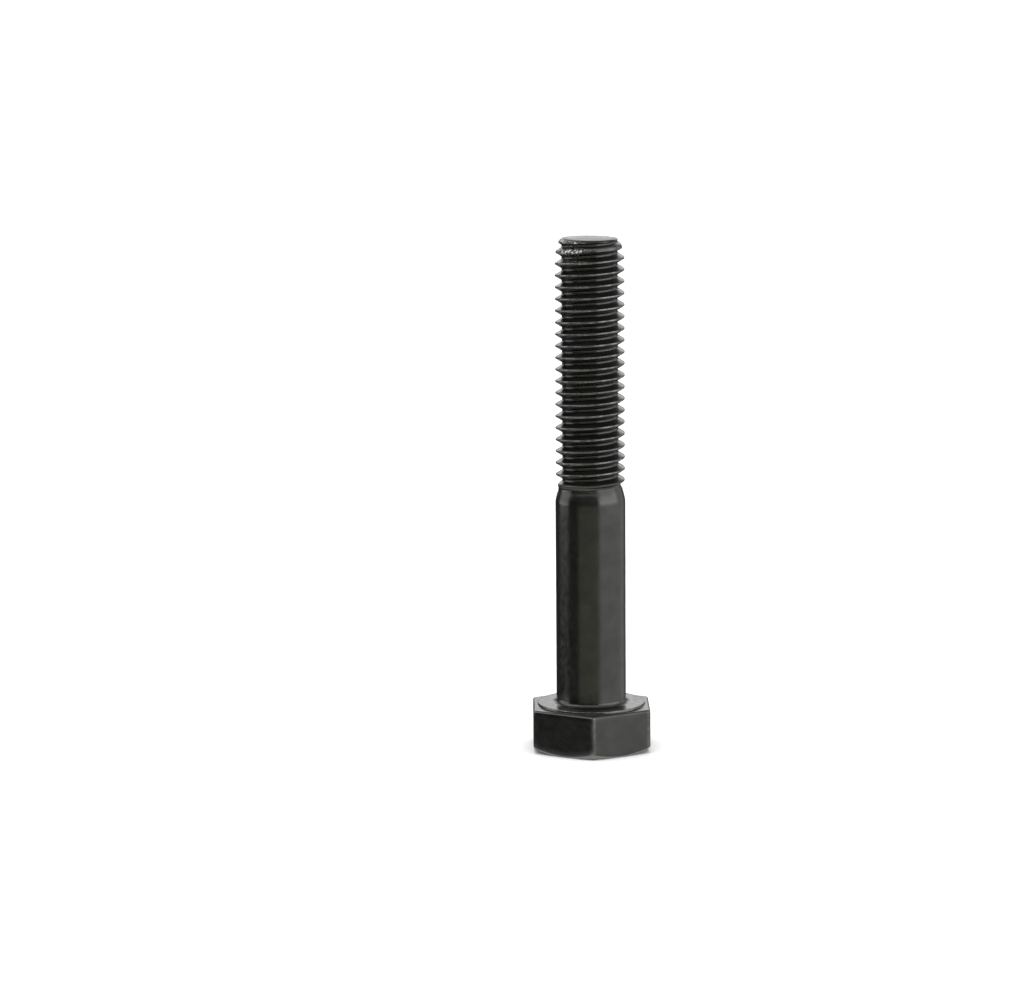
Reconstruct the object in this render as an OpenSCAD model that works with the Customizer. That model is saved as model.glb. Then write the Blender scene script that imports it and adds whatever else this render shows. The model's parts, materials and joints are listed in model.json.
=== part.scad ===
// Hex head bolt, M6 x 40, partly threaded, in one piece of steel.
// The origin is the centre of the bearing face. The shank points along +Z, the head lies
// below the origin, and two of the head's six flats face +X and -X.

/* [Head] */
// Width across the flats
across_flats = 10; // [9.6:0.1:12]
// Height of the head, washer face included
head_h = 4; // [3:0.1:6]
// Diameter of the round top face that the chamfer leaves
top_face_d = 9.5; // [8.9:0.1:9.5]
// Angle between the chamfer and the top face
chamfer_angle = 30; // [15:1:35]
// Diameter of the washer face, which is the raised round bearing face
washer_face_d = 9.2; // [8.9:0.05:9.5]
// Height of the washer face above the hexagon
washer_face_h = 0.2; // [0.15:0.05:0.5]

/* [Shank] */
// Diameter of the plain shank
shank_d = 5.98; // [5.82:0.02:6]
// Length from the bearing face to the threaded end
shank_l = 40; // [30:1:80]
// Radius of the fillet between bearing face and shank
fillet_r = 0.4; // [0.25:0.05:0.5]
// Diameter of the blank that the thread is rolled on, reached at the foot of the shoulder
neck_d = 5.4; // [5.3:0.05:5.6]
// Length of the rounded shoulder that narrows the plain shank to the blank
shoulder_l = 1.6; // [1:0.1:2.4]

/* [Thread] */
// Distance from one crest to the next
pitch = 1; // [0.75:0.25:1]
// Diameter over the crests
thread_d = 5.93; // [5.8:0.01:5.97]
// Length of the thread from the end of the bolt to the last trace of a groove on the shoulder
thread_l = 21.5; // [12:0.5:24]
// Length over which the grooves fade out on the shoulder
runout_l = 1; // [0.8:0.1:2]
// Diameter of the flat end face
end_d = 4.7; // [4.4:0.05:4.7]
// Length of the short chamfer round the end face
end_chamfer_l = 0.22; // [0.1:0.02:0.4]
// Diameter at the foot of that chamfer, where the first low crests begin
lead_d = 5.24; // [5:0.02:5.6]
// Length from the end face to the first crest of full height
lead_l = 1.5; // [1:0.1:2.5]
// Flat sides that make one turn of the thread
turn_sides = 36; // [24:4:48]

/* [Mark] */
// Depth of the plain dot and bar sunk in the top of the head
mark_depth = 0.12; // [0.05:0.01:0.2]
// Distance of the marks from the axis
mark_ring_r = 3.2; // [2.5:0.1:3.6]
// Diameter of the dot, and length of the bar
dot_d = 0.8; // [0.5:0.05:1]
bar_l = 1.5; // [1:0.1:2]

/* [Hidden] */

steel = "#1d1d1c";
fine = 96;

// The thread form of an ISO metric screw, as shares of the pitch
thread_depth = 0.6134 * pitch;
crest_flat = pitch / 8;
root_flat = pitch / 4;
// Depth below the end face at which the first crest crosses the +X side
first_crest = 0.68 * pitch;

thread_base = shank_l - thread_l;
// Share of the shoulder that lies below the thread's lowest groove
shoulder_clear_share = 0.7;
shoulder_base = thread_base - shoulder_l * shoulder_clear_share;
// The thread's body reaches this far into the shoulder, so that the two join as one solid
joint_overlap = 0.2;
joint_step = 0.04;
// Points of a helix nearer than this to either end of the thread are moved onto that end
snap = 0.012;

corner_r = across_flats / 2 / cos(30);
arc_steps = 8;

function clamped(v, low, high) = max(low, min(high, v));
function eased(t) = let (s = clamped(t, 0, 1)) s * s * (3 - 2 * s);

// Radius of the shank with no thread on it: plain, then narrowing in a soft S to the blank
function blank_r(z) =
    shank_d / 2 - (shank_d - neck_d) / 2 * eased((z - shoulder_base) / shoulder_l);

// ---- Head -------------------------------------------------------------------------------

module hex_prism() {
    translate([0, 0, -head_h])
        rotate([0, 0, 30])
            cylinder(h = head_h - washer_face_h, r = corner_r, $fn = 6);
}

// The round envelope that cuts the chamfer off the hexagon's corners at the top face
module chamfer_envelope() {
    outer_r = corner_r + 1;
    slope_h = (outer_r - top_face_d / 2) * tan(chamfer_angle);
    rotate_extrude($fn = fine)
        polygon([
            [0, -head_h],
            [top_face_d / 2, -head_h],
            [outer_r, -head_h + slope_h],
            [outer_r, 0],
            [0, 0],
        ]);
}

module washer_face() {
    translate([0, 0, -head_h / 2])
        cylinder(h = head_h / 2, d = washer_face_d, $fn = fine);
}

// A round dot and a straight bar, side by side near the rim of the head's top
module head_marks() {
    rotate([0, 0, 115])
        translate([mark_ring_r, 0, -head_h - 1])
            cylinder(h = 1 + mark_depth, d = dot_d, $fn = fine / 2);
    rotate([0, 0, 65])
        translate([mark_ring_r - dot_d / 4, -bar_l / 2, -head_h - 1])
            cube([dot_d / 2, bar_l, 1 + mark_depth]);
}

module head() {
    difference() {
        intersection() {
            hex_prism();
            chamfer_envelope();
        }
        head_marks();
    }
    washer_face();
}

// ---- Shank ------------------------------------------------------------------------------

// Quarter arc from the bearing face up to the shank
function fillet_points() = [
    for (i = [0:arc_steps])
        let (a = 90 * i / arc_steps)
        [shank_d / 2 + fillet_r * (1 - sin(a)), fillet_r * (1 - cos(a))]
];

function shoulder_points() = [
    for (i = [0:arc_steps])
        let (z = shoulder_base + (thread_base - shoulder_base) * i / arc_steps)
        [blank_r(z), z]
];

module shank() {
    rotate_extrude($fn = fine)
        polygon(concat(
            [[0, -head_h / 2], [shank_d / 2 + fillet_r, -head_h / 2]],
            fillet_points(),
            shoulder_points(),
            [[0, thread_base]]
        ));
}

// ---- Thread -----------------------------------------------------------------------------

// Radius of the endless thread at a height, in pitches, above the centre of a crest
function form_r(turns) =
    let (
        from_crest = abs(turns - round(turns)) * pitch,
        down = (from_crest - crest_flat / 2) / (pitch / 2 - crest_flat / 2 - root_flat / 2)
    )
    thread_d / 2 - thread_depth * clamped(down, 0, 1);

// Radius that the blank's pointed end allows: the end face, then the slowly rising first crests
function lead_r(z) =
    z > shank_l - end_chamfer_l / 2
        ? end_d / 2
        : lead_d / 2
            + (thread_d - lead_d) / 2 * (shank_l - end_chamfer_l - z) / (lead_l - end_chamfer_l);

// Radius of the bolt's surface at an angle and a height: the thread, faded into the shoulder at
// its base and held down by the lead at its end
function surface_r(angle, z) =
    let (
        turns = (z - shank_l + first_crest) / pitch - angle / 360,
        base_r = blank_r(z) - joint_step,
        r = base_r + (form_r(turns) - base_r) * eased((z - thread_base) / runout_l)
    )
    min(r, lead_r(z));

// Edges of the crest and of the root: four lines that wind round the bolt in every pitch
line_shares = [-crest_flat / 2, crest_flat / 2, pitch / 2 - root_flat / 2, pitch / 2 + root_flat / 2];
lines_per_turn = len(line_shares);
turns_made = ceil(thread_l / pitch) + 3;
lines = turns_made * lines_per_turn;

// Height at which a line crosses an angle. Below the thread's base and above the foot of the end
// chamfer the lines run level, and one more line than those of the helix is the end face's rim.
function line_z(side, line) =
    let (
        turn = floor(line / lines_per_turn),
        share = line_shares[line % lines_per_turn],
        low = thread_base - joint_overlap,
        high = shank_l - end_chamfer_l,
        z = shank_l - first_crest + pitch * (side / turn_sides + turn + 2 - turns_made) + share
    )
    line == lines ? shank_l : z < low + snap ? low : z > high - snap ? high : z;

// The last side of a turn meets the first one a whole turn further along the lines
function point_index(side, line) =
    side < turn_sides ? side * (lines + 1) + line
        : line == lines ? lines
        : min(line + lines_per_turn, lines - 1);

function line_point(side, line) =
    let (z = line_z(side, line), angle = 360 * side / turn_sides, r = surface_r(angle, z))
    [r * cos(angle), r * sin(angle), z];

module thread() {
    points = [for (side = [0:turn_sides - 1]) for (line = [0:lines]) line_point(side, line)];
    // Each cell between two lines and two sides is two triangles, left out where it has no height
    outer_faces = [
        for (side = [0:turn_sides - 1])
        for (line = [0:lines - 1])
        if (line_z(side + 1, line) < line_z(side + 1, line + 1))
        [point_index(side, line), point_index(side + 1, line + 1), point_index(side + 1, line)]
    ];
    inner_faces = [
        for (side = [0:turn_sides - 1])
        for (line = [0:lines - 1])
        if (line_z(side, line) < line_z(side, line + 1))
        [point_index(side, line), point_index(side, line + 1), point_index(side + 1, line + 1)]
    ];
    base_face = [for (side = [0:turn_sides - 1]) point_index(side, 0)];
    end_face = [for (side = [turn_sides - 1:-1:0]) point_index(side, lines)];
    polyhedron(points, concat(outer_faces, inner_faces, [base_face, end_face]));
}

// ---- Bolt -------------------------------------------------------------------------------

module hex_bolt() {
    color(steel)
        union() {
            head();
            shank();
            thread();
        }
}

hex_bolt();
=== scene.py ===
"""Hex bolt M6 x 40: the looks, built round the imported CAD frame.

The bolt is one piece of black oxide steel, so it is one closed mesh: a grid of columns that run
round the axis and rows that run from the middle of the head's top face, up the flats, over the
bearing face, along the shank and the thread, to the middle of the threaded end. On the thread the
rows wind round the bolt as a helix. Lengths are in millimetres until the mesh is made.
"""

import json
import math

import bpy
import numpy as np
from mathutils import Euler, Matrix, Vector


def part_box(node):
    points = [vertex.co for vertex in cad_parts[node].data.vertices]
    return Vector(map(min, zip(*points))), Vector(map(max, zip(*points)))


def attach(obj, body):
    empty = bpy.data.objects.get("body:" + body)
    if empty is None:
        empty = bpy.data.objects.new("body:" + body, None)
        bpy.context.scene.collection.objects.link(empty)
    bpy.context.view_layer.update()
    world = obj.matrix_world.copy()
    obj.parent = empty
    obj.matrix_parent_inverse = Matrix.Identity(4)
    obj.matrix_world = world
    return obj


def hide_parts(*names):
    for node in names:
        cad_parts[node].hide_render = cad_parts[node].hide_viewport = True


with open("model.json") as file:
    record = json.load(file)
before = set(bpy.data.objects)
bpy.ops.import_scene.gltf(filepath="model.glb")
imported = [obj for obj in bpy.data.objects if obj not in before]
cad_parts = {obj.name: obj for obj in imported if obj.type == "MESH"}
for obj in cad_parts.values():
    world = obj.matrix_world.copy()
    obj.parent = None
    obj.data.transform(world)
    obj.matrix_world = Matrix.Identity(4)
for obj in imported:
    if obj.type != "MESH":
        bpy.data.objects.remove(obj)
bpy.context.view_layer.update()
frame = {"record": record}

MM = 0.001
NODE = "hex_bolt"
MOUNTS = {m["name"]: m for m in frame["record"]["mounts"]}

# ---- Sizes that the frame gives ---------------------------------------------------------------

node_low, node_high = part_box(NODE)
HALF_FLATS = node_high.x / MM
HEAD_H = -node_low.z / MM
SHANK_L = node_high.z / MM
SHANK_R = MOUNTS["shank"]["dims"]["r_mm"]
THREAD_R = MOUNTS["thread"]["dims"]["r_mm"]
THREAD_L = MOUNTS["thread"]["dims"]["length_mm"]

# ---- Sizes of the finer shapes ----------------------------------------------------------------

PITCH = 1.0
CHAMFER_SLOPE = math.tan(math.radians(30))
TOP_FACE_R = 4.75
WASHER_R = 4.6
WASHER_H = 0.2
# The washer face's wall leans in by this much on its way up
WASHER_LEAN = 0.04
WASHER_RIM_W = 0.3
CORNER_ROUND = 0.2
# Bevel between the flats and the underside of the head
UNDER_BEVEL_H = 0.14
UNDER_BEVEL_W = 0.12
FILLET_R = 0.4
BLANK_R = 2.7
SHOULDER_L = 1.6
# Share of the shoulder that lies below the thread's lowest groove
SHOULDER_CLEAR_SHARE = 0.7
RUNOUT_L = 1.0
# Depth below the end face at which the first crest crosses the +X side
FIRST_CREST = 0.68
END_R = 2.35
END_CHAMFER_L = 0.22
LEAD_R = 2.62
LEAD_L = 1.5
END_EDGE_SOFT = 0.05
LEAD_EDGE_SOFT = 0.03

DISH_DEPTH = 0.07
DISH_RIM_W = 0.05
DISH_WALL_W = 0.7
END_TILT = 0.09
END_TILT_L = 1.1
END_HIGH_SIDE = math.radians(125)

MARK_DEPTH = 0.12
MARK_RING_R = 3.2
MARK_ROUND = 0.1
MARK_WALL_W = 0.14
DOT_R = 0.4
DOT_ANGLE = math.radians(115)
BAR_HALF = (0.2, 0.75)
BAR_ANGLE = math.radians(65)

COLUMNS = 144
TURN = 2 * math.pi
MARK_SIDE = TURN / 4

THREAD_BASE = SHANK_L - THREAD_L
SHOULDER_BASE = THREAD_BASE - SHOULDER_L * SHOULDER_CLEAR_SHARE
# The winding rows begin where the last faint trace of a groove does
WINDING_BASE = THREAD_BASE - 0.5


def eased(t):
    """0 to 1 in a soft S."""
    t = np.clip(t, 0, 1)
    return t * t * (3 - 2 * t)


def soft_min(a, b, width):
    """The smaller of two values, rounded where they cross."""
    return (a + b - np.sqrt((a - b) ** 2 + width * width)) / 2


def from_side(angle, side):
    """Signed angle from a side of the bolt, by the shorter way round."""
    return (angle - side + math.pi) % TURN - math.pi


def columns_where(density, still):
    """Angles of the columns, closer together where density(angle) is high. The column at the angle
    still stays where it would be if all were evenly apart."""
    samples = 7201
    fine = still + np.linspace(0, TURN, samples)
    weight = density(fine)
    run = np.concatenate([[0], np.cumsum((weight[1:] + weight[:-1]) / 2)])
    shares = np.arange(COLUMNS) / COLUMNS - still / TURN
    return np.interp(shares % 1, run / run[-1], fine) + TURN * np.floor(shares)


def from_corner(angle):
    """Angle to the nearest corner of the hexagon, whose corners point along +Y and -Y."""
    sixth = TURN / 6
    return (angle - TURN / 4 + sixth / 2) % sixth - sixth / 2


def close_on_corners(angle):
    return 1 + 3.5 * np.exp(-((from_corner(angle) / math.radians(4)) ** 2))


def close_on_marks(angle):
    return 1 + 1.6 * np.exp(-((from_side(angle, MARK_SIDE) / math.radians(36)) ** 4))


EVEN = np.arange(COLUMNS) / COLUMNS * TURN
HEXED = columns_where(close_on_corners, MARK_SIDE)
MARKED = columns_where(close_on_marks, MARK_SIDE)


def hexagon_r(angle):
    """Distance from the axis to the hexagon's side, its six upright edges rounded."""
    corner = np.abs(from_corner(angle))
    side = HALF_FLATS / np.cos(TURN / 12 - corner)
    centre = (HALF_FLATS - CORNER_ROUND) / math.cos(TURN / 12)
    beside = centre * np.sin(corner)
    arc = centre * np.cos(corner) + np.sqrt(np.maximum(CORNER_ROUND**2 - beside**2, 0))
    flat_half = math.atan((HALF_FLATS - CORNER_ROUND) * math.tan(TURN / 12) / HALF_FLATS)
    return np.where(corner < TURN / 12 - flat_half, arc, side)


# ---- Rows of the head and the shank -----------------------------------------------------------


def soft_path(corners, steps):
    """Rows along a path of corners, as (r, z) arrays. Each corner is (r, z, setback, rows before it):
    the path leaves the straight by a setback on either side of it, on a smooth bend."""
    points = [np.stack(np.broadcast_arrays(c[0], c[1] * np.ones(COLUMNS)), -1) for c in corners]
    rows = [points[0]]
    here = points[0]
    for k in range(1, len(corners)):
        setback, between = corners[k][2:]
        into = points[k - 1] - points[k]
        into /= np.linalg.norm(into, axis=1, keepdims=True)
        bend_start = points[k] + into * setback
        for i in range(1, between + 1):
            rows.append(here + (bend_start - here) * i / between)
        here = bend_start
        if setback > 0:
            out = points[k + 1] - points[k]
            out /= np.linalg.norm(out, axis=1, keepdims=True)
            bend_end = points[k] + out * setback
            for i in range(1, steps + 1):
                t = i / steps
                rows.append((1 - t) ** 2 * bend_start + 2 * t * (1 - t) * points[k] + t * t * bend_end)
            here = bend_end
    return rows


def mark_depth(x, y):
    """Depth of the plain dot and bar pressed into the top face."""
    dot_x = MARK_RING_R * math.cos(DOT_ANGLE)
    dot_y = MARK_RING_R * math.sin(DOT_ANGLE)
    dot = np.hypot(x - dot_x, y - dot_y) - DOT_R
    along = x * math.cos(BAR_ANGLE) + y * math.sin(BAR_ANGLE) - MARK_RING_R
    across = -x * math.sin(BAR_ANGLE) + y * math.cos(BAR_ANGLE)
    out_a = np.abs(along) - BAR_HALF[0] + MARK_ROUND
    out_b = np.abs(across) - BAR_HALF[1] + MARK_ROUND
    bar = np.hypot(np.maximum(out_a, 0), np.maximum(out_b, 0)) - MARK_ROUND
    bar = bar + np.minimum(np.maximum(out_a, out_b), 0)
    return MARK_DEPTH * eased(0.5 - np.minimum(dot, bar) / MARK_WALL_W)


def top_face_rows():
    """The head's top face, from near the axis to where the hexagon's rows begin: wide apart in the
    middle, close together over the marks, then over to the hexagon's columns."""
    marks_end = 3.78
    crossing = 0.6
    middle = np.linspace(0.3, 2.5, 7)
    marks = np.linspace(2.62, marks_end, 21)
    rim = np.linspace(3.87, 4.38, 7)
    rows = []
    for r in np.concatenate([middle, marks, rim]):
        angles = MARKED + (HEXED - MARKED) * float(eased((r - marks_end) / crossing))
        depth = mark_depth(r * np.cos(angles), r * np.sin(angles))
        rows.append((angles, np.full(COLUMNS, r), -HEAD_H + depth))
    return rows


def head_rows():
    """Chamfer, flats and underside, up over the washer face's wall."""
    r = hexagon_r(HEXED)
    chamfer_z = -HEAD_H + (r - TOP_FACE_R) * CHAMFER_SLOPE
    steps_in_bend = 3
    path = soft_path(
        [
            (TOP_FACE_R - 0.25, -HEAD_H, 0, 0),
            (TOP_FACE_R, -HEAD_H, 0.1, 1),
            (r, chamfer_z, 0.1, 4),
            (r, -WASHER_H - UNDER_BEVEL_H, 0.06, 8),
            (r - UNDER_BEVEL_W, -WASHER_H, 0.05, 1),
            (WASHER_R + WASHER_LEAN / 2, -WASHER_H, 0.035, 4),
            (WASHER_R - WASHER_LEAN / 2, 0, 0.06, 1),
            (WASHER_R - WASHER_RIM_W, 0, 0, 1),
        ],
        steps_in_bend,
    )
    return [(HEXED, p[:, 0], p[:, 1]) for p in path]


def bearing_rows():
    """The flat of the washer face, where the columns spread out evenly again."""
    rows = []
    outer = WASHER_R - WASHER_RIM_W
    inner = SHANK_R + FILLET_R
    for t in np.linspace(0, 1, 6)[1:]:
        angles = HEXED + (EVEN - HEXED) * float(eased(t))
        rows.append((angles, np.full(COLUMNS, outer + (inner - outer) * t), np.zeros(COLUMNS)))
    return rows


def blank_r(z):
    """Radius of the shank with no thread on it: plain, then narrowing to the rolling blank."""
    return SHANK_R - (SHANK_R - BLANK_R) * eased((z - SHOULDER_BASE) / SHOULDER_L)


def shank_rows():
    """Fillet, plain shank, and the shoulder up to where the winding rows begin."""
    rows = []
    for a in np.linspace(0, math.pi / 2, 9)[1:]:
        r = SHANK_R + FILLET_R * (1 - math.sin(a))
        z = FILLET_R * (1 - math.cos(a))
        rows.append((EVEN, np.full(COLUMNS, r), np.full(COLUMNS, z)))
    plain = np.linspace(FILLET_R, SHOULDER_BASE, 20)[1:]
    shoulder = np.linspace(SHOULDER_BASE, WINDING_BASE, 8)[1:-1]
    for z in np.concatenate([plain, shoulder]):
        rows.append((EVEN, blank_r(z) + lumps(EVEN, z) * eased(z - FILLET_R), np.full(COLUMNS, z)))
    return rows


# ---- Thread -----------------------------------------------------------------------------------

# The thread's form, in pitches
FLANK_SLOPE = math.tan(math.radians(60))
CREST_HALF = 0.0625
CREST_SOFT = 0.035
ROOT_DEPTH = 0.59
ROOT_SOFT = 0.05
# The faint last trace of a groove on the shoulder
TRACE_L = 0.6
TRACE_SHARE = 0.07
NICKED_SIDE = math.radians(226)
NICKED_SPREAD = math.radians(35)
NICK_DEPTH = 0.012
NICKED_L = 2.6
LUMP_H = 0.0022
# Where the winding rows lie in one pitch, from the middle of a crest: close on crest and root
HALF_PITCH_ROWS = (0.03, 0.055, 0.08, 0.11, 0.17, 0.26, 0.34, 0.375, 0.405, 0.445)


def groove_depth(offset):
    """Depth below the crest, in pitches, at a distance from the middle of a crest, in pitches."""
    flank = FLANK_SLOPE * (np.abs(offset) - CREST_HALF)
    deep = soft_min(flank, ROOT_DEPTH, ROOT_SOFT)
    return -soft_min(-deep, 0, CREST_SOFT)


def nicks(angle, z):
    """Small dents in the first crests, where bolts knock together in the box: most on one side."""
    reach = eased((z - SHANK_L + NICKED_L) / 1.5)
    worst = 1 + 1.5 * np.exp(-((from_side(angle, NICKED_SIDE) / NICKED_SPREAD) ** 2))
    dents = np.sin(angle * 17 + z * 3.1) + np.sin(angle * 29 - z * 7.3) + np.sin(angle * 43 + 1.7)
    return NICK_DEPTH * reach * worst * np.maximum(dents - 0.9, 0)


def lumps(angle, z):
    """The slight unevenness that forging and rolling leave in the shank."""
    waves = np.sin(angle * 3 + z * 0.7)
    waves = waves + 0.6 * np.sin(angle * 7 - z * 1.9)
    waves = waves + 0.4 * np.sin(angle * 13 + z * 2.9)
    return LUMP_H * waves


def thread_r(angle, z):
    """Radius of the bolt on the winding rows."""
    turns = (z - SHANK_L + FIRST_CREST) / PITCH - angle / TURN
    crest_r = THREAD_R - nicks(angle, z)
    full = crest_r - groove_depth(turns - np.round(turns)) * PITCH
    base = blank_r(z)
    trace = TRACE_SHARE * eased((z - WINDING_BASE) / TRACE_L)
    depth_share = trace + (1 - TRACE_SHARE) * eased((z - THREAD_BASE) / RUNOUT_L)
    r = base + (full - base) * depth_share
    lead = LEAD_R + (THREAD_R - LEAD_R) * (SHANK_L - END_CHAMFER_L - z) / (LEAD_L - END_CHAMFER_L)
    chamfer = END_R + (LEAD_R - END_R) * (SHANK_L - z) / END_CHAMFER_L
    end = soft_min(lead, chamfer, END_EDGE_SOFT)
    return soft_min(r, end, LEAD_EDGE_SOFT) + lumps(angle, z)


def winding_heights():
    """Height of every winding row in every column, kept between the thread's base and the end.
    One more column than the bolt has shows where a row arrives after a whole turn."""
    shares = sorted([0.0, 0.5, *HALF_PITCH_ROWS, *(1 - x for x in HALF_PITCH_ROWS)])
    turns = int(math.ceil((SHANK_L - WINDING_BASE) / PITCH)) + 2
    starts = np.array([k - turns + s for k in range(turns + 1) for s in shares])
    column = np.arange(COLUMNS + 1) / COLUMNS
    z = SHANK_L - FIRST_CREST + PITCH * (starts[None, :] + 1 + column[:, None])
    snap = PITCH / COLUMNS / 2
    z[z < WINDING_BASE + snap] = WINDING_BASE
    z[z > SHANK_L - snap] = SHANK_L
    return z, len(shares)


# ---- Threaded end -----------------------------------------------------------------------------


def end_rows():
    """The end face: a narrow rim, then a shallow dish left by the rolling."""
    rows = []
    for inward in (0.03, 0.09, 0.18, 0.32, 0.5, 0.75, 1.05, 1.4, 1.75, 2.05):
        r = END_R - inward
        sunk = DISH_DEPTH * eased((END_R - DISH_RIM_W - r) / DISH_WALL_W)
        rows.append((EVEN, np.full(COLUMNS, r), np.full(COLUMNS, SHANK_L - sunk)))
    return rows


def end_tilt(points):
    """How far the cropped end drops away from square, highest at the end face's back left."""
    x, y, z = points.T
    across = (x * math.cos(END_HIGH_SIDE) + y * math.sin(END_HIGH_SIDE)) / END_R
    return END_TILT / 2 * (1 - across) * eased((z - SHANK_L + END_TILT_L) / END_TILT_L)


# ---- The mesh ---------------------------------------------------------------------------------


class Skin:
    """Points and faces of the closed surface, gathered row by row."""

    def __init__(self):
        self.points = []
        self.faces = []

    def ring(self, row):
        """Adds the points of one row and gives their numbers."""
        angles, r, z = row
        first = len(self.points)
        self.points += [tuple(p) for p in np.stack([r * np.cos(angles), r * np.sin(angles), z], -1)]
        return list(range(first, first + COLUMNS))

    def centre(self, z):
        """Adds a point on the axis and gives its number."""
        self.points.append((0.0, 0.0, z))
        return len(self.points) - 1

    def fan(self, centre, ring, up):
        """Closes a face from its innermost row to the axis."""
        for i in range(COLUMNS):
            a = ring[i]
            b = ring[(i + 1) % COLUMNS]
            self.faces.append((centre, a, b) if up else (centre, b, a))

    def band(self, low, high):
        """Joins two neighbouring rows."""
        for i in range(COLUMNS):
            k = (i + 1) % COLUMNS
            self.faces.append((low[i], low[k], high[k], high[i]))

    def winding(self, heights, per_turn, base_ring, end_ring):
        """Winds the thread's rows between two level rings."""
        rows = heights.shape[1]
        index = np.empty(heights.shape, int)
        for i in range(COLUMNS):
            for j in range(rows):
                z = heights[i, j]
                if z <= WINDING_BASE:
                    index[i, j] = base_ring[i]
                elif z >= SHANK_L:
                    index[i, j] = end_ring[i]
                else:
                    r = float(thread_r(EVEN[i], z))
                    index[i, j] = len(self.points)
                    self.points.append((r * math.cos(EVEN[i]), r * math.sin(EVEN[i]), z))
        beyond = np.minimum(np.arange(rows) + per_turn, rows - 1)
        index[COLUMNS] = index[0, beyond]
        for i in range(COLUMNS):
            for j in range(rows - 1):
                loop = (index[i, j], index[i + 1, j], index[i + 1, j + 1], index[i, j + 1])
                kept = [p for n, p in enumerate(loop) if p != loop[n - 1]]
                if len(kept) > 2:
                    self.faces.append(tuple(int(p) for p in kept))


def bolt_mesh():
    """The whole bolt as one closed mesh."""
    skin = Skin()
    top = skin.centre(-HEAD_H)
    rings = [skin.ring(row) for row in top_face_rows() + head_rows() + bearing_rows() + shank_rows()]
    skin.fan(top, rings[0], up=False)
    base_r = blank_r(WINDING_BASE) + lumps(EVEN, WINDING_BASE)
    base = skin.ring((EVEN, base_r, np.full(COLUMNS, WINDING_BASE)))
    rings.append(base)
    for low, high in zip(rings, rings[1:]):
        skin.band(low, high)
    end = skin.ring((EVEN, np.full(COLUMNS, END_R), np.full(COLUMNS, SHANK_L)))
    heights, per_turn = winding_heights()
    skin.winding(heights, per_turn, base, end)
    end_rings = [end] + [skin.ring(row) for row in end_rows()]
    for low, high in zip(end_rings, end_rings[1:]):
        skin.band(low, high)
    skin.fan(skin.centre(SHANK_L - DISH_DEPTH), end_rings[-1], up=True)

    points = np.array(skin.points)
    points[:, 2] -= end_tilt(points)
    mesh = bpy.data.meshes.new("hex_bolt_steel")
    mesh.from_pydata((points * MM).tolist(), [], skin.faces)
    mesh.validate()
    mesh.update()
    return mesh


SHARP_FROM = math.radians(38)

bolt = bpy.data.objects.new("hex_bolt_steel", bolt_mesh())
bpy.context.scene.collection.objects.link(bolt)
bolt.data.shade_smooth()
bolt.data.set_sharp_from_angle(angle=SHARP_FROM)
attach(bolt, "root")
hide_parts(NODE)

# ---- Black oxide ------------------------------------------------------------------------------

OXIDE = (0.078, 0.078, 0.0755)
OXIDE_MOTTLE = 0.1
WORN = (0.36, 0.36, 0.35)
BARE = (0.62, 0.61, 0.59)
OXIDE_METALLIC = 0.96
WORN_SHARE = 0.6
WORN_ROUGHER = 0.08
BUMP_MM = 0.0035


def put(links, value, socket):
    """Sets a socket to a number or a colour, or links it to another node."""
    if isinstance(value, (int, float)):
        socket.default_value = value
    elif isinstance(value, tuple):
        socket.default_value = (*value, 1)
    else:
        links.new(value, socket)


def math_node(nodes, links, operation, *values):
    node = nodes.new("ShaderNodeMath")
    node.operation = operation
    for socket, value in zip(node.inputs, values):
        put(links, value, socket)
    return node.outputs[0]


def colour_mix(nodes, links, share, a, b):
    node = nodes.new("ShaderNodeMix")
    node.data_type = "RGBA"
    sockets = {socket.identifier: socket for socket in node.inputs}
    put(links, share, sockets["Factor_Float"])
    put(links, a, sockets["A_Color"])
    put(links, b, sockets["B_Color"])
    return [socket for socket in node.outputs if socket.identifier == "Result_Color"][0]


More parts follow.
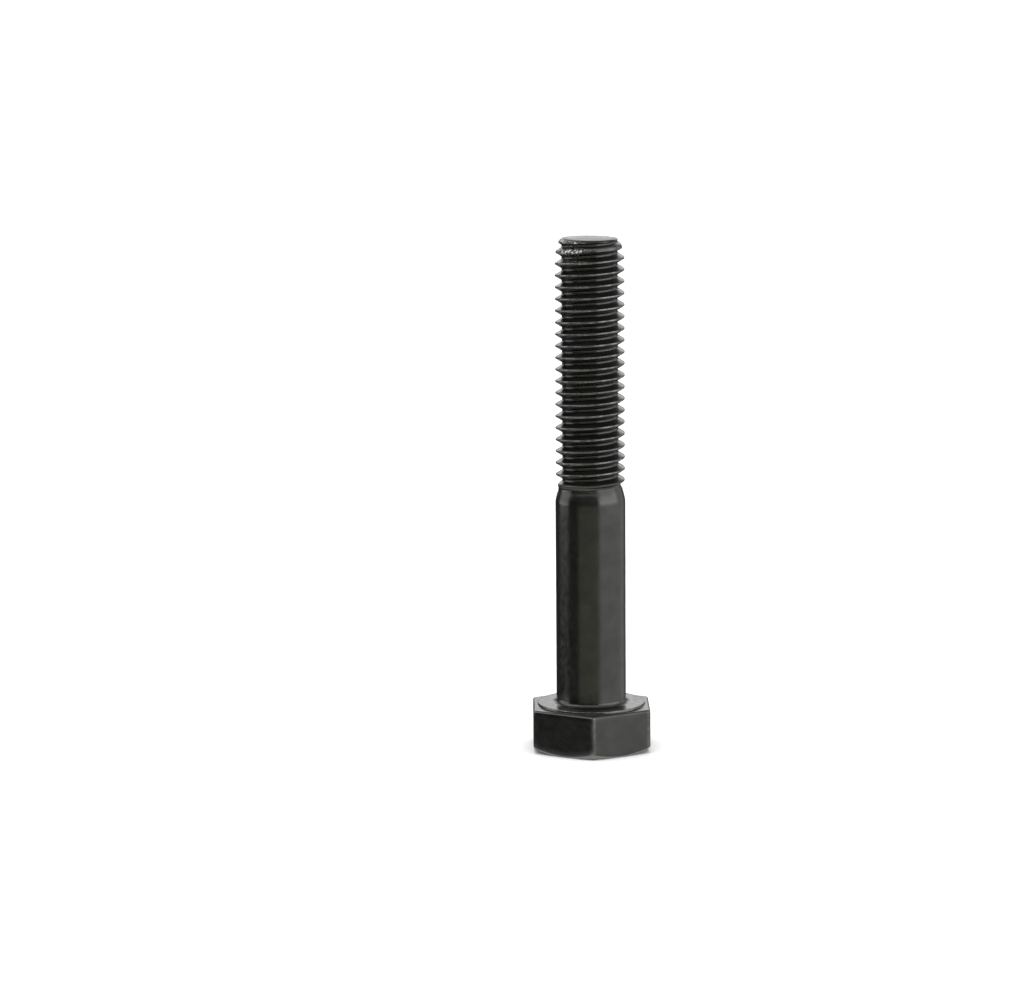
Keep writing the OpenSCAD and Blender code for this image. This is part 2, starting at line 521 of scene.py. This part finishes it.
class Shading:
    """Short names for the nodes of one material, with places on the bolt in millimetres."""

    def __init__(self, material):
        material.use_nodes = True
        self.nodes = material.node_tree.nodes
        self.links = material.node_tree.links
        self.surface = self.nodes["Principled BSDF"]
        coordinates = self.nodes.new("ShaderNodeTexCoord")
        scale = self.nodes.new("ShaderNodeVectorMath")
        scale.operation = "SCALE"
        scale.inputs["Scale"].default_value = 1 / MM
        self.links.new(coordinates.outputs["Object"], scale.inputs[0])
        self.place = scale.outputs["Vector"]
        split = self.nodes.new("ShaderNodeSeparateXYZ")
        self.links.new(self.place, split.inputs[0])
        self.x, self.y, self.z = split.outputs
        self.r = self.calculate("SQRT", self.add(self.square(self.x), self.square(self.y)))

    def calculate(self, operation, *values):
        return math_node(self.nodes, self.links, operation, *values)

    def add(self, a, b):
        return self.calculate("ADD", a, b)

    def times(self, a, b):
        return self.calculate("MULTIPLY", a, b)

    def square(self, a):
        return self.calculate("MULTIPLY", a, a)

    def most(self, *values):
        highest = values[0]
        for value in values[1:]:
            highest = self.calculate("MAXIMUM", highest, value)
        return highest

    def ramp(self, value, start, stop, low=0.0, high=1.0):
        """low where value is start, high where it is stop, and level beyond them."""
        node = self.nodes.new("ShaderNodeMapRange")
        node.interpolation_type = "SMOOTHSTEP"
        node.inputs["From Min"].default_value = start
        node.inputs["From Max"].default_value = stop
        node.inputs["To Min"].default_value = low
        node.inputs["To Max"].default_value = high
        self.links.new(value, node.inputs["Value"])
        return node.outputs["Result"]

    def near_ring(self, radius, height, clear, gone):
        """1 within clear millimetres of a circle round the axis, 0 beyond gone millimetres."""
        out = self.square(self.calculate("SUBTRACT", self.r, radius))
        up = self.square(self.calculate("SUBTRACT", self.z, height))
        return self.ramp(self.calculate("SQRT", self.add(out, up)), clear, gone, 1.0, 0.0)

    def noise(self, per_mm, detail=2.0):
        """Noise from 0 to 1 with so many grains in a millimetre."""
        node = self.nodes.new("ShaderNodeTexNoise")
        node.inputs["Scale"].default_value = per_mm
        node.inputs["Detail"].default_value = detail
        self.links.new(self.place, node.inputs["Vector"])
        return node.outputs["Fac"]

    def mix(self, share, a, b):
        return colour_mix(self.nodes, self.links, share, a, b)


def knocks(paint):
    """The side of the first crests that has been knocked about."""
    toward_x = paint.times(paint.x, math.cos(NICKED_SIDE))
    toward_y = paint.times(paint.y, math.sin(NICKED_SIDE))
    side = paint.ramp(paint.add(toward_x, toward_y), 1.8, 2.6)
    side = paint.times(side, paint.ramp(paint.z, SHANK_L - 2.2, SHANK_L - 1.4))
    return paint.times(side, paint.ramp(paint.r, END_R, LEAD_R - 0.02))


def edge_wear(paint):
    """Where the oxide is rubbed thin: thread crests, rims and the corners of the head."""
    lead_start = SHANK_L - END_CHAMFER_L
    crest = paint.ramp(paint.z, SHANK_L - LEAD_L, lead_start, THREAD_R, LEAD_R)
    rise = paint.ramp(paint.calculate("SUBTRACT", paint.r, crest), -0.04, -0.012)
    crests = paint.times(rise, paint.ramp(paint.z, THREAD_BASE + 0.4, THREAD_BASE + RUNOUT_L))
    crests = paint.times(crests, paint.ramp(paint.z, SHANK_L - 1.9, SHANK_L - 1.2, 1.0, 0.35))
    corner_r = 5.67
    rims = paint.most(
        paint.near_ring(END_R, SHANK_L, 0.04, 0.12),
        paint.near_ring(TOP_FACE_R, -HEAD_H, 0.04, 0.14),
        paint.near_ring(WASHER_R, 0, 0.03, 0.11),
        paint.ramp(paint.r, corner_r - 0.11, corner_r + 0.03, 0.0, 0.45),
    )
    patches = paint.ramp(paint.noise(1.6, 4.0), 0.38, 0.66, 0.25, 1.0)
    return paint.times(paint.most(crests, rims), patches)


def bare_specks(paint):
    """Small bright spots where the knocks have gone through to the steel."""
    return paint.times(knocks(paint), paint.ramp(paint.noise(4.5, 3.0), 0.46, 0.58))


def black_oxide():
    """Black oxide on steel under a film of oil: dark, half glossy, finely grained."""
    m = bpy.data.materials.new("black_oxide")
    paint = Shading(m)
    mottle = paint.ramp(paint.noise(0.7, 3.0), 0.3, 0.7, 0.0, 1.0)
    darker = tuple((1 - OXIDE_MOTTLE) * c for c in OXIDE)
    lighter = tuple((1 + OXIDE_MOTTLE) * c for c in OXIDE)
    oxide = paint.mix(mottle, darker, lighter)
    wear = edge_wear(paint)
    colour = paint.mix(paint.times(wear, WORN_SHARE), oxide, WORN)
    colour = paint.mix(bare_specks(paint), colour, BARE)
    paint.links.new(colour, paint.surface.inputs["Base Color"])
    paint.surface.inputs["Metallic"].default_value = OXIDE_METALLIC

    film = paint.ramp(paint.noise(2.2, 4.0), 0.3, 0.7, 0.18, 0.27)
    rougher = paint.times(wear, WORN_ROUGHER)
    paint.links.new(paint.add(film, rougher), paint.surface.inputs["Roughness"])

    grain = paint.times(paint.noise(11.0), 0.45)
    skin = paint.times(paint.noise(1.8), 2.4)
    dents = paint.times(paint.times(knocks(paint), paint.noise(5.5)), 30.0)
    bump = paint.nodes.new("ShaderNodeBump")
    bump.inputs["Distance"].default_value = BUMP_MM * MM
    paint.links.new(paint.add(paint.add(grain, skin), dents), bump.inputs["Height"])
    paint.links.new(bump.outputs["Normal"], paint.surface.inputs["Normal"])
    return m


bolt.data.materials.append(black_oxide())

# ---- Stage ------------------------------------------------------------------------------------


FLOOR_WHITE = (0.9, 0.9, 0.9)


def white_floor():
    """A pale floor. It is seen through from below, so that the underside can be looked at."""
    reach = 4.0
    z = -HEAD_H * MM
    corners = [(-reach, -reach, z), (reach, -reach, z), (reach, reach, z), (-reach, reach, z)]
    mesh = bpy.data.meshes.new("floor")
    mesh.from_pydata(corners, [], [(0, 1, 2, 3)])
    floor = bpy.data.objects.new("floor", mesh)
    bpy.context.scene.collection.objects.link(floor)
    m = bpy.data.materials.new("floor_white")
    m.use_nodes = True
    nodes = m.node_tree.nodes
    links = m.node_tree.links
    shader = nodes["Principled BSDF"]
    shader.inputs["Base Color"].default_value = (*FLOOR_WHITE, 1)
    shader.inputs["Roughness"].default_value = 1.0
    shader.inputs["Specular IOR Level"].default_value = 0.0
    clear = nodes.new("ShaderNodeBsdfTransparent")
    side = nodes.new("ShaderNodeNewGeometry")
    mix = nodes.new("ShaderNodeMixShader")
    links.new(side.outputs["Backfacing"], mix.inputs["Fac"])
    links.new(shader.outputs["BSDF"], mix.inputs[1])
    links.new(clear.outputs["BSDF"], mix.inputs[2])
    links.new(mix.outputs["Shader"], nodes["Material Output"].inputs["Surface"])
    mesh.materials.append(m)
    floor.visible_glossy = False


# The studio's brightness at a few heights, in degrees above the horizon. Round the bolt, from the
# back over the left to the front and over the right to the back again, the entries are: back, back
# left, left strip light, gap, front, right soft box, its far part, back right.
STUDIO_LEVELS = {
    -40: (0.80, 0.65, 0.60, 0.80, 1.00, 0.75, 0.70, 0.70),
    -20: (0.30, 0.10, 0.10, 0.50, 0.42, 0.85, 0.80, 0.30),
    -14: (0.05, 0.05, 0.04, 0.04, 0.45, 0.82, 0.82, 0.20),
    -11: (0.05, 0.05, 0.04, 0.04, 0.46, 0.82, 0.82, 0.20),
    -8.5: (0.05, 0.05, 0.06, 0.04, 0.46, 0.80, 0.80, 0.20),
    -6.5: (0.05, 0.05, 1.00, 0.05, 0.20, 1.00, 0.80, 0.20),
    -5: (0.10, 0.05, 2.40, 0.05, 0.14, 1.30, 0.84, 0.20),
    -1: (0.20, 0.08, 2.00, 0.08, 0.12, 1.30, 0.86, 0.20),
    3: (0.26, 0.08, 1.30, 0.06, 0.10, 1.60, 0.88, 0.20),
    6: (0.34, 0.10, 1.20, 0.06, 0.10, 2.30, 0.88, 0.25),
    13: (1.80, 0.40, 1.20, 0.07, 0.10, 2.30, 0.88, 0.50),
    27: (1.20, 0.30, 1.50, 0.12, 0.12, 1.40, 0.70, 0.40),
    33: (0.90, 0.20, 1.50, 1.70, 0.85, 1.10, 0.30, 0.30),
    45: (0.80, 0.20, 1.50, 2.40, 1.45, 1.10, 0.30, 0.30),
    60: (0.40, 0.40, 0.40, 0.40, 0.40, 0.40, 0.40, 0.40),
}
# Where each entry holds, in degrees round the bolt: 0 is the front, the left is negative
STUDIO_SPANS = (
    (-180, -156),
    (-150, -126),
    (-119, -84),
    (-76, -46),
    (-36, 25),
    (31, 98),
    (104, 130),
    (142, 152),
)
# From here the first entry holds again, round to the back
BACK_AGAIN = 160
STUDIO_TOP = 4.0
# The room in front is a little olive up to this height, the lights are neutral
FRONT_SPAN = (-36, 25)
OLIVE_BELOW = 20
OLIVE = (1.0, 1.03, 0.84)
NEUTRAL = (1.0, 1.0, 1.0)


def ring_stops(height, levels):
    """Stops of one ring of the studio, as (place from 0 to 1, brightness, tint)."""
    stops = []
    for span, level in zip(STUDIO_SPANS, levels):
        tint = OLIVE if span == FRONT_SPAN and height < OLIVE_BELOW else NEUTRAL
        for degrees in span:
            stops.append(((degrees + 180) / 360, level, tint))
    stops.append(((BACK_AGAIN + 180) / 360, levels[0], NEUTRAL))
    return stops


def ramp_node(nodes, stops):
    """A colour ramp through (place, brightness, tint) stops, the brightness against STUDIO_TOP."""
    node = nodes.new("ShaderNodeValToRGB")
    ramp = node.color_ramp
    ramp.elements.remove(ramp.elements[1])
    for n, (place, level, tint) in enumerate(stops):
        stop = ramp.elements[0] if n == 0 else ramp.elements.new(place)
        stop.position = place
        stop.color = (*(level / STUDIO_TOP * c for c in tint), 1)
    return node


def studio_dome():
    """The studio that the steel mirrors. The camera itself sees plain white."""
    world = bpy.data.worlds.new("studio")
    bpy.context.scene.world = world
    world.use_nodes = True
    nodes = world.node_tree.nodes
    links = world.node_tree.links
    nodes.clear()
    coord = nodes.new("ShaderNodeTexCoord")
    split = nodes.new("ShaderNodeSeparateXYZ")
    links.new(coord.outputs["Generated"], split.inputs[0])
    x, y, z = split.outputs

    toward_front = math_node(nodes, links, "MULTIPLY", y, -1.0)
    azimuth = math_node(nodes, links, "ARCTAN2", x, toward_front)
    turns = math_node(nodes, links, "DIVIDE", azimuth, TURN)
    around = math_node(nodes, links, "ADD", turns, 0.5)
    upward = math_node(nodes, links, "ARCSINE", z)
    elevation = math_node(nodes, links, "MULTIPLY", upward, 180 / math.pi)

    shown = None
    below = None
    for level_height, levels in STUDIO_LEVELS.items():
        ring = ramp_node(nodes, ring_stops(level_height, levels))
        links.new(around, ring.inputs["Fac"])
        if shown is None:
            shown = ring.outputs["Color"]
        else:
            rise = nodes.new("ShaderNodeMapRange")
            rise.inputs["From Min"].default_value = below
            rise.inputs["From Max"].default_value = level_height
            links.new(elevation, rise.inputs["Value"])
            shown = colour_mix(nodes, links, rise.outputs["Result"], shown, ring.outputs["Color"])
        below = level_height

    studio = nodes.new("ShaderNodeBackground")
    studio.inputs["Strength"].default_value = STUDIO_TOP
    links.new(shown, studio.inputs["Color"])
    white = nodes.new("ShaderNodeBackground")
    white.inputs["Color"].default_value = (*NEUTRAL, 1)
    path = nodes.new("ShaderNodeLightPath")
    mix = nodes.new("ShaderNodeMixShader")
    links.new(path.outputs["Is Camera Ray"], mix.inputs["Fac"])
    links.new(studio.outputs["Background"], mix.inputs[1])
    links.new(white.outputs["Background"], mix.inputs[2])
    out = nodes.new("ShaderNodeOutputWorld")
    links.new(mix.outputs["Shader"], out.inputs["Surface"])


OVERHEAD_ENERGY = 2.5
OVERHEAD_SPREAD = math.radians(70)


def overhead_light():
    """A broad even light that keeps the floor white out to the horizon."""
    data = bpy.data.lights.new("overhead", "SUN")
    data.energy = OVERHEAD_ENERGY
    data.angle = OVERHEAD_SPREAD
    light = bpy.data.objects.new("overhead", data)
    light.visible_glossy = False
    bpy.context.scene.collection.objects.link(light)


CAMERA_LENS = 126.2
CAMERA_PLACE = (-6.575, -304.0, SHANK_L + 25.2)
CAMERA_DOWN = 8.9
CAMERA_ROLL = -0.42


def photo_camera():
    """The camera: a long lens a little above the bolt's end, looking slightly down."""
    data = bpy.data.cameras.new("camera")
    data.sensor_width = 36.0
    data.lens = CAMERA_LENS
    data.clip_start = 0.01
    data.clip_end = 20.0
    camera = bpy.data.objects.new("camera", data)
    camera.location = Vector(CAMERA_PLACE) * MM
    look = Euler((math.radians(90 - CAMERA_DOWN), 0, 0)).to_matrix()
    roll = Euler((0, 0, math.radians(CAMERA_ROLL))).to_matrix()
    camera.rotation_euler = (look @ roll).to_euler()
    bpy.context.scene.collection.objects.link(camera)
    bpy.context.scene.camera = camera


white_floor()
studio_dome()
overhead_light()
photo_camera()
bpy.context.scene.view_settings.view_transform = "Standard"
